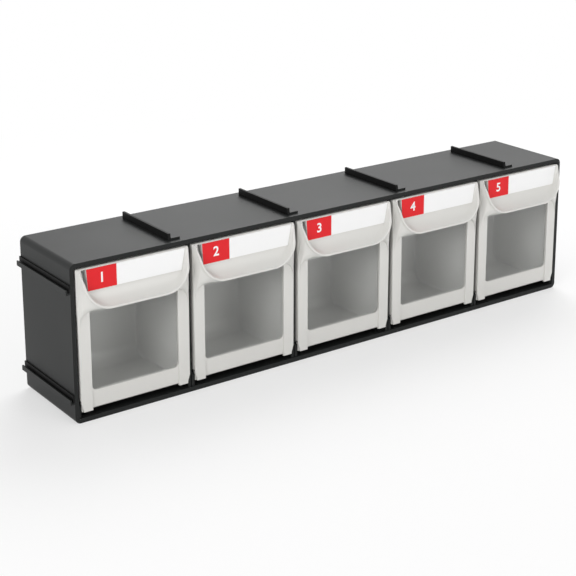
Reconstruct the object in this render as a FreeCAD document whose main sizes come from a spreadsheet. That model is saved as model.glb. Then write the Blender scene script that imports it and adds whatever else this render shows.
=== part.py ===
import FreeCAD
import Part
import os
import Sketcher
from FreeCAD import Placement, Rotation, Vector

# A row of five tilt-out bins for small stock: one moulded housing open at the front,
# and in each bay a white tub behind a white frame with a clear window, a scooped handle
# and a label.
# Each frame turns on two pegs near its foot, so the bin tips forward and falls shut.
# +X runs along the row to the right as seen from the front, the fronts face -Y, +Z is up.
# The origin is the middle of the flat underside. Lengths are in millimetres.

SIZES = (
    ("width", 600, "housing, along the row"),
    ("depth", 98, "housing, front rim to back"),
    ("height", 150, "housing, underside to top"),
    ("corner", 5.5, "rounding of the four long edges"),
    ("rim", 4.5, "thickness of the front rim, above and below the bins"),
    ("rim_depth", 6, "how far the thick rim runs back"),
    ("shell", 3, "floor and ceiling behind the rim"),
    ("back_wall", 2.5, "back of the housing"),
    ("bins", 5, "how many bins"),
    ("end_wall", 4.2, "wall at each end of the row"),
    ("divider", 2.4, "wall between two bays"),
    ("setback", 2.5, "front edge of a divider behind the rim"),
    ("rib_rise", 5.2, "rest rib above the floor"),
    ("rib", 4, "thickness of the rest rib"),
    ("rib_back", 22, "rest rib, ahead of the back wall"),
    ("pivot_back", 6, "hinge axis behind the rim's face"),
    ("pivot_rise", 9.5, "hinge axis above the rim"),
    ("peg_radius", 2.5, "hinge peg"),
    ("peg_play", 0.05, "between peg and socket, on the radius"),
    ("peg_end", 0.2, "between the peg's end and the bottom of its socket"),
    ("boss_wall", 2, "round the socket"),
    ("boss_run", 10, "foot of the boss, behind the axis"),
    ("strip", 2.6, "joining strip on top, thickness"),
    ("strip_height", 6.5, "joining strip on top"),
    ("strip_front", 6, "strip starts behind the rim's face"),
    ("strip_end", 7, "strip ends ahead of the back"),
    ("strip_bevel", 1.2, "bevel on the strip's front end"),
    ("land", 9.4, "raised land beside a strip, width"),
    ("land_height", 2.2, "raised land above the top"),
    ("hook_reach", 4.3, "side hook, out from the end wall"),
    ("hook_height", 4.7, "side hook, outer lip"),
    ("hook_wall", 1.5, "thickness of the hook"),
    ("hook_drop", 27.2, "underside of the upper hook below the top"),
    ("hook_rise", 19.5, "underside of the lower hook above the foot"),
    ("side_strip", 1.5, "joining strip in a hook, thickness"),
    ("side_strip_height", 7, "joining strip in a hook"),
    ("side_gap", 0.7, "frame to divider"),
    ("top_gap", 1.2, "frame to rim above"),
    ("foot_gap", 5.4, "frame's feet above the rim"),
    ("proud", 1.3, "face of the frame ahead of the rim"),
    ("plate", 2.5, "thickness of the frame"),
    ("lean", 0.6, "frame narrower at the foot, each side"),
    ("frame_corner", 1.2, "rounding of the frame's top corners"),
    ("stile", 12.5, "frame's side members, width"),
    ("stile_foot", 2.1, "stiles run below the bottom rail"),
    ("sill", 16.5, "frame's bottom rail, height"),
    ("sill_step", 0.6, "bottom rail set back from the stiles"),
    ("window_drop", 43.3, "top of the window below the frame's top"),
    ("window_corner", 5, "rounding of the window's lower corners"),
    ("notch", 2.2, "chamfer of the frame's feet, width"),
    ("notch_rise", 6.6, "chamfer of the frame's feet, height"),
    ("skirt", 1.8, "flange behind the frame's edge"),
    ("skirt_depth", 8, "flange, back from the frame"),
    ("skirt_inset", 0.4, "flange inside the frame's edge"),
    ("ear", 2, "thickness of a hinge ear"),
    ("ear_depth", 8.4, "hinge ear, back from the frame"),
    ("ear_rise", 8.6, "height of a hinge ear"),
    ("hood_drop", 37.8, "frame's top to the handle's lower edge"),
    ("hood_reach", 12.2, "handle's lower edge ahead of the frame"),
    ("hood_top", 1.8, "handle's upper end ahead of the frame"),
    ("crest_inset", 1.6, "handle's edge at the top, in from the side"),
    ("shoulder_inset", 4, "handle's edge where its curve starts, in from the side"),
    ("shoulder_drop", 17.3, "start of the curve below the frame's top"),
    ("flat_inset", 30, "straight lower edge starts, in from the side"),
    ("blend_drop", 52.3, "handle's flank runs out below the frame's top"),
    ("blend_rise", 10, "rise of the run-out from the side to the window"),
    ("blend_inset", 14, "width of the run-out"),
    ("lip", 2, "thickness of the handle's lower lip"),
    ("pocket_proud", 1, "label's ground ahead of the frame"),
    ("pocket_drop", 0.6, "label's ground below the frame's top"),
    ("pocket_height", 21.2, "label's ground, height"),
    ("pocket_inset", 4.8, "label's ground, in from the side at the top"),
    ("pocket_foot", 8.6, "label's ground, in from the side at the foot"),
    ("pocket_corner", 1, "rounding of the label's ground"),
    ("scoop_reach", 4.5, "middle of the scoop ahead of the frame"),
    ("scoop_drop", 30.3, "middle of the scoop below the frame's top"),
    ("scoop_top", 3.6, "middle section, in from the side at the top"),
    ("scoop_side", 7, "middle section, in from the side at its shoulder"),
    ("scoop_shoulder", 19.5, "middle section's shoulder below the frame's top"),
    ("scoop_flat", 24, "middle section's flat starts, in from the side"),
    ("cheek", 1, "handle's cheek at the lip"),
    ("slot", 4.8, "slot at the card's left end, width at the top"),
    ("slot_foot", 2.1, "slot at the card's left end, width at the foot"),
    ("label_gap", 0.1, "label to its ground's edges"),
    ("card", 0.6, "label card, thickness"),
    ("sticker", 0.3, "index sticker, thickness"),
    ("sticker_edge", 39.4, "index sticker's right edge from the frame's side"),
    ("pane", 1.5, "clear pane, thickness"),
    ("pane_lap", 3, "pane past the window's edge all round"),
    ("pane_corner", 3, "rounding of the pane's corners"),
    ("tub_side", 5.2, "tub to divider, each side"),
    ("tub_wall", 1.8, "tub"),
    ("tub_foot", 4, "tub above the rim's inner face"),
    ("tub_gap", 4.5, "tub to the back wall"),
    ("tub_corner", 16, "tub's lower back corner"),
    ("tub_edge", 4, "tub's upright back edges"),
    ("tub_front", 22, "tub's front wall below the frame's top"),
    ("stop_play", 0.7, "tub's back edge under the ceiling as it swings"),
    ("overrun", 1, "cuts run past the solid by this"),
)

# Where each joining strip stands on the top, its left face from the middle, in widths.
STRIP_SHARES = (-0.3275, -0.1060, 0.1190, 0.3683)

doc = FreeCAD.newDocument("tilt_out_bins")
sheet = doc.addObject("Spreadsheet::Sheet", "sizes")
for row, (word, size, note) in enumerate(SIZES, start=1):
    sheet.set(f"A{row}", note)
    sheet.set(f"B{row}", str(size))
    sheet.setAlias(f"B{row}", word)
doc.recompute()

# Places that several pieces share, each worked out from the sheet.
FRONT = "sizes.depth / 2"
PITCH = "((sizes.width - 2 * sizes.end_wall + sizes.divider) / sizes.bins)"
BAY = f"({PITCH} - sizes.divider)"
FIRST_BIN = f"-(sizes.bins - 1) / 2 * {PITCH}"
MOUTH_TOP = "(sizes.height - sizes.rim)"
CEILING = "(sizes.height - sizes.shell)"
PIVOT_Y = "(sizes.pivot_back - sizes.depth / 2)"
PIVOT_Z = "(sizes.rim + sizes.pivot_rise)"
BOSS_FACE = f"({BAY} / 2 - sizes.notch)"
HOOK_HIGH = "(sizes.height - sizes.hook_drop)"
SOCKET = "(sizes.peg_radius + sizes.peg_play)"
FRAME_HALF = f"({BAY} / 2 - sizes.side_gap)"
FRAME_TOP = f"({MOUTH_TOP} - sizes.top_gap)"
FRAME_FOOT = "(sizes.rim + sizes.foot_gap)"
RAIL_FOOT = f"({FRAME_FOOT} + sizes.stile_foot)"
SILL_TOP = f"({RAIL_FOOT} + sizes.sill)"
FRAME_FRONT = "(sizes.depth / 2 + sizes.proud)"
PLATE_BACK = f"({FRAME_FRONT} - sizes.plate)"
PANE_BACK = f"({PLATE_BACK} - sizes.pane)"
WINDOW_HALF = f"({FRAME_HALF} - sizes.stile)"
WINDOW_TOP = f"({FRAME_TOP} - sizes.window_drop)"
EAR_FACE = f"({BOSS_FACE} - sizes.side_gap)"
POCKET = f"({FRAME_FRONT} + sizes.pocket_proud)"
HOOD_SLANT = "sqrt(sizes.hood_drop^2 + (sizes.hood_reach - sizes.hood_top)^2)"


def number(formula):
    """What a formula comes to with the sheet's present sizes."""
    value = sheet.evalExpression(formula)
    return getattr(value, "Value", value)


def new_body(label):
    body = doc.addObject("PartDesign::Body", label)
    body.Label = label
    return body


def new_sketch(body, name, role, shift="0"):
    """A sketch on one of the body's own planes, moved along its normal by shift."""
    sketch = body.newObject("Sketcher::SketchObject", name)
    plane = [item for item in body.Origin.OriginFeatures if item.Role == role][0]
    sketch.AttachmentSupport = [(plane, "")]
    sketch.MapMode = "FlatFace"
    sketch.setExpression("AttachmentOffset.Base.z", shift)
    return sketch


def pin(sketch, edge, across, up):
    """Hold the start of an edge at a place that follows the sheet."""
    for direction, formula in (("X", across), ("Y", up)):
        rule = Sketcher.Constraint(f"Distance{direction}", -1, 1, edge, 1, number(formula))
        place = sketch.addConstraint(rule)
        name = f"{direction.lower()}_of_corner_{edge}"
        sketch.renameConstraint(place, name)
        sketch.setExpression(f"Constraints.{name}", formula)


def add_outline(sketch, corners):
    """A closed outline of straight lines through corners written as formulas."""
    first = sketch.GeometryCount
    points = [Vector(number(across), number(up), 0) for across, up in corners]
    for start, end in zip(points, points[1:] + points[:1]):
        sketch.addGeometry(Part.LineSegment(start, end), False)
    for index in range(len(corners)):
        following = first + (index + 1) % len(corners)
        sketch.addConstraint(Sketcher.Constraint("Coincident", first + index, 2, following, 1))
    for index, (across, up) in enumerate(corners):
        pin(sketch, first + index, across, up)


def add_box(sketch, left, right, low, high):
    add_outline(sketch, ((left, low), (right, low), (right, high), (left, high)))


def add_circle(sketch, across, up, radius):
    centre = Vector(number(across), number(up), 0)
    edge = sketch.addGeometry(Part.Circle(centre, Vector(0, 0, 1), number(radius)), False)
    rule = Sketcher.Constraint("Radius", edge, number(radius))
    name = f"radius_of_circle_{edge}"
    sketch.renameConstraint(sketch.addConstraint(rule), name)
    sketch.setExpression(f"Constraints.{name}", radius)
    for direction, formula in (("X", across), ("Y", up)):
        rule = Sketcher.Constraint(f"Distance{direction}", -1, 1, edge, 3, number(formula))
        name = f"{direction.lower()}_of_centre_{edge}"
        sketch.renameConstraint(sketch.addConstraint(rule), name)
        sketch.setExpression(f"Constraints.{name}", formula)


def add_hood_outline(sketch, half, top, top_inset, shoulder, shoulder_inset, low, flat_inset):
    """The handle's outline: straight top, sides and foot, with an arc at each lower corner.

    The arc leaves the foot smoothly and meets the side at the shoulder.
    """
    flat = f"({half} - {flat_inset})"
    side = f"({half} - {shoulder_inset})"
    end = f"({half} - {top_inset})"
    corners = (
        (f"-{flat}", low), (flat, low), (side, shoulder), (end, top), (f"-{end}", top), (f"-{side}", shoulder),
    )
    points = [Vector(number(across), number(up), 0) for across, up in corners]
    run = points[2].x - points[1].x
    rise = points[2].y - points[1].y
    radius = (run * run + rise * rise) / (2 * rise)
    for index, (start, following) in enumerate(zip(points, points[1:] + points[:1])):
        if index in (1, 5):
            foot = points[1] if index == 1 else points[0]
            centre = Vector(foot.x, foot.y + radius, 0)
            circle = Part.Circle(centre, Vector(0, 0, 1), radius)
            ends = circle.parameter(start), circle.parameter(following)
            sketch.addGeometry(Part.ArcOfCircle(circle, *ends), False)
        else:
            sketch.addGeometry(Part.LineSegment(start, following), False)
    for index in range(len(corners)):
        following = (index + 1) % len(corners)
        kind = "Tangent" if index in (0, 5) else "Coincident"
        sketch.addConstraint(Sketcher.Constraint(kind, index, 2, following, 1))
    for index, (across, up) in enumerate(corners):
        pin(sketch, index, across, up)


def extrude(body, kind, name, sketch, length, backward=False, both_ways=False):
    """A Pad or a Pocket of one length along the sketch's normal."""
    feature = body.newObject(f"PartDesign::{kind}", name)
    feature.Profile = sketch
    feature.setExpression("Length", length)
    feature.Reversed = backward
    feature.Midplane = both_ways
    sketch.Visibility = False
    doc.recompute()
    return feature


def loft(body, kind, name, sections):
    feature = body.newObject(f"PartDesign::{kind}", name)
    feature.Profile = sections[0]
    feature.Sections = sections[1:]
    feature.Ruled = True
    doc.recompute()
    return feature


def round_edges(body, name, radius, wanted):
    """Round those edges of the body so far for which wanted(edge) holds."""
    base = body.Tip
    names = [f"Edge{index}" for index, edge in enumerate(base.Shape.Edges, start=1) if wanted(edge)]
    feature = body.newObject("PartDesign::Fillet", name)
    feature.Base = (base, names)
    feature.setExpression("Radius", radius)
    doc.recompute()
    return feature


def runs_along(edge, direction):
    """True for a straight edge parallel to the direction."""
    return edge.Curve.TypeId == "Part::GeomLine" and edge.Curve.Direction.cross(direction).Length < 1e-6


def repeat_per_bin(body, features):
    """Copy features of the first bay into the others."""
    pattern = body.newObject("PartDesign::LinearPattern", "each_bay")
    pattern.Originals = features
    axis = [item for item in body.Origin.OriginFeatures if item.Role == "X_Axis"][0]
    pattern.Direction = (axis, [""])
    pattern.setExpression("Length", f"(sizes.bins - 1) * {PITCH}")
    pattern.setExpression("Occurrences", "sizes.bins")
    body.Tip = pattern
    doc.recompute()


def make_housing():
    """The moulded housing: five bays open at the front, with hinge sockets at their feet."""
    body = new_body("housing")
    outline = new_sketch(body, "outline", "XZ_Plane", FRONT)
    add_box(outline, "-sizes.width / 2", "sizes.width / 2", "0", "sizes.height")
    extrude(body, "Pad", "block", outline, "sizes.depth", backward=True)
    round_edges(body, "long_edges", "sizes.corner", lambda edge: runs_along(edge, Vector(0, 1, 0)))
    add_lands(body)
    add_hooks(body)

    row_half = "(sizes.width / 2 - sizes.end_wall)"
    mouth = new_sketch(body, "mouth", "XZ_Plane", FRONT)
    add_box(mouth, f"-{row_half}", row_half, "sizes.rim", MOUTH_TOP)
    extrude(body, "Pocket", "mouth_cut", mouth, "sizes.setback")

    left = f"({FIRST_BIN} - {BAY} / 2)"
    right = f"({FIRST_BIN} + {BAY} / 2)"
    door = new_sketch(body, "door", "XZ_Plane", FRONT)
    add_box(door, left, right, "sizes.rim", MOUTH_TOP)
    door_cut = extrude(body, "Pocket", "door_cut", door, "sizes.rim_depth + sizes.overrun")
    chamber = new_sketch(body, "chamber", "XZ_Plane", f"{FRONT} - sizes.rim_depth")
    add_box(chamber, left, right, "sizes.shell", CEILING)
    chamber_depth = "sizes.depth - sizes.rim_depth - sizes.back_wall"
    chamber_cut = extrude(body, "Pocket", "chamber_cut", chamber, chamber_depth)
    repeat_per_bin(body, [door_cut, chamber_cut])

    rib = new_sketch(body, "rest_rib", "YZ_Plane")
    rib_front = f"({FRONT} - sizes.back_wall - sizes.rib_back)"
    add_box(rib, rib_front, f"{rib_front} + sizes.rib", "sizes.shell / 2", "sizes.shell + sizes.rib_rise")
    extrude(body, "Pad", "rest_rib_pad", rib, f"2 * {row_half}", both_ways=True)
    add_bosses(body)
    return body


def add_lands(body):
    """The low land that stands to the right of each joining strip on the top."""
    lands = new_sketch(body, "lands", "XZ_Plane", f"{FRONT} - sizes.strip_front")
    for share in STRIP_SHARES:
        left = f"({share} * sizes.width + sizes.strip)"
        add_box(lands, left, f"{left} + sizes.land", CEILING, "sizes.height + sizes.land_height")
    run = "sizes.depth - sizes.strip_front - sizes.strip_end"
    extrude(body, "Pad", "lands_pad", lands, run, backward=True)


def add_hooks(body):
    """Two hooks along the left end wall, each with its channel open upward."""
    hooks = new_sketch(body, "hooks", "XZ_Plane", FRONT)
    wall = "-sizes.width / 2"
    tip = f"{wall} - sizes.hook_reach"
    root = f"{wall} + sizes.hook_wall"
    for low in (HOOK_HIGH, "sizes.hook_rise"):
        add_outline(hooks, (
            (tip, low), (root, low), (root, f"{low} + sizes.hook_wall"),
            (f"{tip} + sizes.hook_wall", f"{low} + sizes.hook_wall"),
            (f"{tip} + sizes.hook_wall", f"{low} + sizes.hook_height"), (tip, f"{low} + sizes.hook_height"),
        ))
    extrude(body, "Pad", "hooks_pad", hooks, "sizes.depth", backward=True)


def add_bosses(body):
    """A boss with a blind socket on each side of every bay, repeated along the row."""
    radius = f"({SOCKET} + sizes.boss_wall)"
    profile = (
        (f"{PIVOT_Y} - {radius}", "sizes.shell / 2"),
        (f"{PIVOT_Y} + sizes.boss_run", "sizes.shell / 2"),
        (f"{PIVOT_Y} + sizes.boss_run", f"{PIVOT_Z} - {radius}"),
        (f"{PIVOT_Y} + {radius}", f"{PIVOT_Z} + {radius} / 2"),
        (f"{PIVOT_Y} + {radius} / 2", f"{PIVOT_Z} + {radius}"),
        (f"{PIVOT_Y} - {radius} / 2", f"{PIVOT_Z} + {radius}"),
        (f"{PIVOT_Y} - {radius}", f"{PIVOT_Z} + {radius} / 2"),
    )
    pads = []
    for side, name in ((-1, "left_boss"), (1, "right_boss")):
        sketch = new_sketch(body, name, "YZ_Plane", f"{FIRST_BIN} + {side} * {BOSS_FACE}")
        add_outline(sketch, profile)
        add_circle(sketch, PIVOT_Y, PIVOT_Z, SOCKET)
        length = "sizes.notch + sizes.divider / 4"
        pads.append(extrude(body, "Pad", f"{name}_pad", sketch, length, backward=side < 0))
    repeat_per_bin(body, pads)


def make_top_strip(number_along, share):
    """A black joining strip that stands along the top, against its land."""
    body = new_body(f"top_strip_{number_along}")
    side = new_sketch(body, "side", "YZ_Plane")
    start = "(sizes.strip_front - sizes.depth / 2)"
    end = "(sizes.depth / 2 - sizes.strip_end)"
    top = "(sizes.height + sizes.strip_height)"
    add_outline(side, (
        (start, "sizes.height"), (end, "sizes.height"), (end, top),
        (f"{start} + sizes.strip_bevel", top), (start, f"{top} - sizes.strip_bevel"),
    ))
    extrude(body, "Pad", "fin", side, "sizes.strip")
    body.setExpression("Placement.Base.x", f"{share} * sizes.width")
    return body


def make_side_strip(name, low):
    """A black joining strip that stands in a side hook, against the end wall."""
    body = new_body(f"side_strip_{name}")
    section = new_sketch(body, "section", "XZ_Plane", FRONT)
    add_box(section, "-sizes.side_strip", "0", "0", "sizes.side_strip_height")
    extrude(body, "Pad", "strip", section, "sizes.depth", backward=True)
    body.setExpression("Placement.Base.x", "-sizes.width / 2")
    body.setExpression("Placement.Base.z", f"{low} + sizes.hook_wall")
    return body


def place_bin_piece(body, index):
    """Move a piece made on the middle plane to its own bay."""
    body.setExpression("Placement.Base.x", f"{FIRST_BIN} + {index} * {PITCH}")


def make_frame(index):
    """The white front frame of one bin, with its handle, hinge ears and pegs."""
    body = new_body(f"bin_frame_{index + 1}")
    place_bin_piece(body, index)
    foot_half = f"({FRAME_HALF} - sizes.lean)"
    toe_half = f"({foot_half} - sizes.notch)"
    right_side = (
        (WINDOW_HALF, RAIL_FOOT), (WINDOW_HALF, FRAME_FOOT), (toe_half, FRAME_FOOT), (toe_half, RAIL_FOOT),
        (foot_half, f"{RAIL_FOOT} + sizes.notch_rise"), (FRAME_HALF, FRAME_TOP),
    )
    left_side = [(f"-{across}", up) for across, up in reversed(right_side)]
    plate = new_sketch(body, "plate", "XZ_Plane", FRAME_FRONT)
    add_outline(plate, list(right_side) + left_side)
    add_box(plate, f"-{WINDOW_HALF}", WINDOW_HALF, SILL_TOP, WINDOW_TOP)
    extrude(body, "Pad", "plate_pad", plate, "sizes.plate", backward=True)
    top = number(FRAME_TOP)
    sill = number(SILL_TOP)
    half = number(WINDOW_HALF)
    round_edges(body, "top_corners", "sizes.frame_corner", lambda edge: is_upright(edge, top, half))
    round_edges(body, "window_corners", "sizes.window_corner", lambda edge: is_upright(edge, sill, 0))

    step = new_sketch(body, "sill_step", "XZ_Plane", FRAME_FRONT)
    add_box(step, f"-{WINDOW_HALF}", WINDOW_HALF, f"{RAIL_FOOT} - sizes.overrun", SILL_TOP)
    extrude(body, "Pocket", "sill_step_cut", step, "sizes.sill_step")
    add_hood(body)
    add_skirt(body)
    add_ears(body)
    return body


def is_upright(edge, height, half):
    """True for an edge through the plate at this height, at least half away from the middle."""
    if not runs_along(edge, Vector(0, 1, 0)):
        return False
    centre = edge.CenterOfMass
    return abs(centre.z - height) < 1e-4 and abs(centre.x) > half


def add_hood(body):
    """The handle: a hood that leans out towards its foot, scooped out round the label."""
    base = new_sketch(body, "hood_base", "XZ_Plane", FRAME_FRONT)
    add_outline(base, (
        (f"-({FRAME_HALF} - sizes.blend_inset)", f"{FRAME_TOP} - sizes.blend_drop + sizes.blend_rise"),
        (f"{FRAME_HALF} - sizes.blend_inset", f"{FRAME_TOP} - sizes.blend_drop + sizes.blend_rise"),
        (f"{FRAME_HALF} - sizes.lean / 2", f"{FRAME_TOP} - sizes.blend_drop"),
        (FRAME_HALF, FRAME_TOP), (f"-{FRAME_HALF}", FRAME_TOP),
        (f"-({FRAME_HALF} - sizes.lean / 2)", f"{FRAME_TOP} - sizes.blend_drop"),
    ))
    crest = new_sketch(body, "hood_crest", "XZ_Plane", f"{FRAME_FRONT} + sizes.hood_top")
    crest.AttachmentOffset = Placement(Vector(0, 0, 0), Rotation(Vector(-1, 0, 0), 1))
    crest.setExpression("AttachmentOffset.Base.y", FRAME_TOP)
    crest.setExpression("AttachmentOffset.Base.z", f"{FRAME_FRONT} + sizes.hood_top")
    lean = "atan((sizes.hood_reach - sizes.hood_top) / sizes.hood_drop)"
    crest.setExpression("AttachmentOffset.Rotation.Angle", lean)
    add_hood_outline(
        crest, FRAME_HALF, "0", "sizes.crest_inset",
        f"-sizes.shoulder_drop * {HOOD_SLANT} / sizes.hood_drop", "sizes.shoulder_inset",
        f"-{HOOD_SLANT}", "sizes.flat_inset",
    )
    loft(body, "AdditiveLoft", "hood", [base, crest])

    pocket_top = f"({FRAME_TOP} - sizes.pocket_drop)"
    pocket_low = f"({pocket_top} - sizes.pocket_height)"
    ground = new_sketch(body, "scoop_ground", "XZ_Plane", POCKET)
    add_hood_outline(
        ground, FRAME_HALF, pocket_top, "sizes.pocket_inset",
        f"{pocket_low} + sizes.pocket_corner", "sizes.pocket_foot",
        pocket_low, "(sizes.pocket_foot + sizes.pocket_corner)",
    )
    middle = new_sketch(body, "scoop_middle", "XZ_Plane", f"{FRAME_FRONT} + sizes.scoop_reach")
    add_hood_outline(
        middle, FRAME_HALF, pocket_top, "sizes.scoop_top",
        f"{FRAME_TOP} - sizes.scoop_shoulder", "sizes.scoop_side",
        f"{FRAME_TOP} - sizes.scoop_drop", "sizes.scoop_flat",
    )
    mouth = new_sketch(body, "scoop_mouth", "XZ_Plane", f"{FRAME_FRONT} + sizes.hood_reach + sizes.overrun")
    add_hood_outline(
        mouth, FRAME_HALF, pocket_top, "(sizes.crest_inset + sizes.cheek)",
        f"{FRAME_TOP} - sizes.shoulder_drop", "(sizes.shoulder_inset + sizes.cheek)",
        f"{FRAME_TOP} - sizes.hood_drop + sizes.lip", "sizes.flat_inset",
    )
    loft(body, "SubtractiveLoft", "scoop", [ground, middle, mouth])
    add_card_slot(body)


def add_card_slot(body):
    """The slot through the frame at the label's left end, where the card is pushed out."""
    left_end = ground_corners(f"-{FRAME_HALF}", 1)
    slot = new_sketch(body, "card_slot", "XZ_Plane", POCKET)
    add_outline(slot, left_end + card_left_end()[::-1])
    extrude(body, "Pocket", "card_slot_cut", slot, "sizes.pocket_proud + sizes.plate + sizes.overrun")


def add_skirt(body):
    """The flange behind the frame's two sides and top, which hides the tub's edge."""
    outer = f"({FRAME_HALF} - sizes.lean - sizes.skirt_inset)"
    inner = f"({outer} - sizes.skirt)"
    low = f"({PIVOT_Z} + {SOCKET} + 2 * sizes.boss_wall)"
    high = f"({FRAME_TOP} - sizes.skirt_inset)"
    skirt = new_sketch(body, "skirt_outline", "XZ_Plane", PLATE_BACK)
    add_outline(skirt, (
        (outer, low), (outer, high), (f"-{outer}", high), (f"-{outer}", low),
        (f"-{inner}", low), (f"-{inner}", f"{high} - sizes.skirt"), (inner, f"{high} - sizes.skirt"), (inner, low),
    ))
    extrude(body, "Pad", "skirt_pad", skirt, "sizes.skirt_depth", backward=True)


def add_ears(body):
    """Two ears behind the frame's feet, each with the peg that it turns on."""
    ears = new_sketch(body, "ears", "XZ_Plane", PLATE_BACK)
    inner = f"({EAR_FACE} - sizes.ear)"
    high = f"{FRAME_FOOT} + sizes.ear_rise"
    add_box(ears, inner, EAR_FACE, FRAME_FOOT, high)
    add_box(ears, f"-{EAR_FACE}", f"-{inner}", FRAME_FOOT, high)
    extrude(body, "Pad", "ears_pad", ears, "sizes.ear_depth", backward=True)
    for side, name in ((-1, "left_peg"), (1, "right_peg")):
        peg = new_sketch(body, name, "YZ_Plane", f"{side} * {EAR_FACE}")
        add_circle(peg, PIVOT_Y, PIVOT_Z, "sizes.peg_radius")
        length = "sizes.side_gap + sizes.notch - sizes.peg_end"
        extrude(body, "Pad", f"{name}_pad", peg, length, backward=side < 0)


def make_pane(index):
    """The clear pane held between the frame and the tub."""
    body = new_body(f"window_pane_{index + 1}")
    place_bin_piece(body, index)
    sketch = new_sketch(body, "pane", "XZ_Plane", PLATE_BACK)
    half = f"({WINDOW_HALF} + sizes.pane_lap)"
    add_box(sketch, f"-{half}", half, f"{SILL_TOP} - sizes.pane_lap", f"{WINDOW_TOP} + sizes.pane_lap")
    extrude(body, "Pad", "pane_pad", sketch, "sizes.pane", backward=True)
    round_edges(body, "corners", "sizes.pane_corner", lambda edge: runs_along(edge, Vector(0, 1, 0)))
    return body


def make_tub(index):
    """The white tub behind the pane, open at the top and at the window.

    The upper edge of its back wall swings close under the ceiling and stops at the rim.
    """
    body = new_body(f"bin_tub_{index + 1}")
    place_bin_piece(body, index)
    front = f"(-{PANE_BACK})"
    back = f"({FRONT} - sizes.back_wall - sizes.tub_gap)"
    low = "(sizes.rim + sizes.tub_foot)"
    swing = f"({CEILING} - sizes.stop_play - {PIVOT_Z})"
    back_top = f"{PIVOT_Z} + sqrt({swing}^2 - ({back} - {PIVOT_Y})^2)"
    side = new_sketch(body, "side", "YZ_Plane")
    add_outline(side, ((front, low), (back, low), (back, back_top), (front, f"{FRAME_TOP} - sizes.tub_front")))
    extrude(body, "Pad", "block", side, f"{BAY} - 2 * sizes.tub_side", both_ways=True)
    depth = number(back)
    foot = number(low)
    round_edges(body, "lower_corner", "sizes.tub_corner", lambda edge: is_back_foot(edge, depth, foot))
    round_edges(body, "side_edges", "sizes.tub_edge", lambda edge: is_back_upright(edge, depth))
    base = body.Tip
    faces = list(enumerate(base.Shape.Faces, start=1))
    top_face = max(faces, key=lambda item: item[1].CenterOfMass.z)[0]
    shell = body.newObject("PartDesign::Thickness", "tub_shell")
    shell.Base = (base, [f"Face{top_face}"])
    shell.setExpression("Value", "sizes.tub_wall")
    shell.Reversed = True
    body.Tip = shell
    doc.recompute()
    opening = new_sketch(body, "opening", "XZ_Plane", f"{PANE_BACK} + sizes.overrun")
    add_box(opening, f"-{WINDOW_HALF}", WINDOW_HALF, SILL_TOP, WINDOW_TOP)
    extrude(body, "Pocket", "opening_cut", opening, "sizes.tub_wall + 2 * sizes.overrun")
    foot = number(SILL_TOP)
    wall = number(PANE_BACK)
    round_edges(body, "opening_corners", "sizes.window_corner", lambda edge: is_sill_corner(edge, foot, wall))
    return body


def is_sill_corner(edge, height, wall):
    """True for the lower corners of the opening in the tub's front wall."""
    centre = edge.CenterOfMass
    level = abs(centre.z - height) < 1e-4 and abs(centre.y + wall) < number("sizes.tub_wall")
    return runs_along(edge, Vector(0, 1, 0)) and level


def is_back_upright(edge, depth):
    return runs_along(edge, Vector(0, 0, 1)) and abs(edge.CenterOfMass.y - depth) < 1e-4


def is_back_foot(edge, depth, foot):
    centre = edge.CenterOfMass
    level = abs(centre.y - depth) < 1e-4 and abs(centre.z - foot) < 1e-4
    return runs_along(edge, Vector(1, 0, 0)) and level


def make_label_card(index):
    """The white label card on its ground in the handle."""
    body = new_body(f"label_card_{index + 1}")
    place_bin_piece(body, index)
    sketch = new_sketch(body, "card", "XZ_Plane", POCKET)
    add_outline(sketch, card_left_end() + ground_corners(FRAME_HALF, -1)[::-1])
    extrude(body, "Pad", "card_pad", sketch, "sizes.card")
    return body


def card_left_end():
    """Upper and lower corner of the card's left end, which the slot leaves free."""
    (top_across, top), (low_across, low) = ground_corners(f"-{FRAME_HALF}", 1)
    return (f"{top_across} + sizes.slot", top), (f"{low_across} + sizes.slot_foot", low)


def ground_corners(side, towards_middle):
    """Upper and lower corner at one end of the label's ground, clear of its edges."""
    top = f"{FRAME_TOP} - sizes.pocket_drop - sizes.label_gap"
    low = f"{FRAME_TOP} - sizes.pocket_drop - sizes.pocket_height + sizes.pocket_corner"
    return (
        (f"{side} + {towards_middle} * (sizes.pocket_inset + sizes.label_gap)", top),
        (f"{side} + {towards_middle} * (sizes.pocket_foot + sizes.label_gap)", low),
    )


def make_index_sticker(index):
    """The red index sticker at the left end of the label card."""
    body = new_body(f"index_sticker_{index + 1}")
    place_bin_piece(body, index)
    (top_left, top), (low_left, low) = card_left_end()
    right = f"-{FRAME_HALF} + sizes.sticker_edge"
    sketch = new_sketch(body, "sticker", "XZ_Plane", f"{POCKET} + sizes.card")
    add_outline(sketch, ((top_left, top), (low_left, low), (right, low), (right, top)))
    extrude(body, "Pad", "sticker_pad", sketch, "sizes.sticker")
    return body


pieces = [make_housing()]
for place, share in enumerate(STRIP_SHARES, start=1):
    pieces.append(make_top_strip(place, share))
pieces.append(make_side_strip("upper", HOOK_HIGH))
pieces.append(make_side_strip("lower", "sizes.hook_rise"))
for index in range(int(number("sizes.bins"))):
    pieces.append(make_frame(index))
    pieces.append(make_pane(index))
    pieces.append(make_tub(index))
    pieces.append(make_label_card(index))
    pieces.append(make_index_sticker(index))
doc.recompute()

for item in doc.Objects:
    if "Invalid" in item.State or "Error" in item.State:
        raise RuntimeError(f"{item.Label} is {item.State}")
for piece in pieces:
    shape = piece.Shape
    if shape.isNull() or not shape.isValid() or len(shape.Solids) != 1:
        raise RuntimeError(f"{piece.Label} is not one sound solid")

os.makedirs("parts", exist_ok=True)
for piece in pieces:
    piece.Shape.exportStep(f"parts/{piece.Label}.step")
    print(piece.Label, round(piece.Shape.Volume), "mm3")
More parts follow.
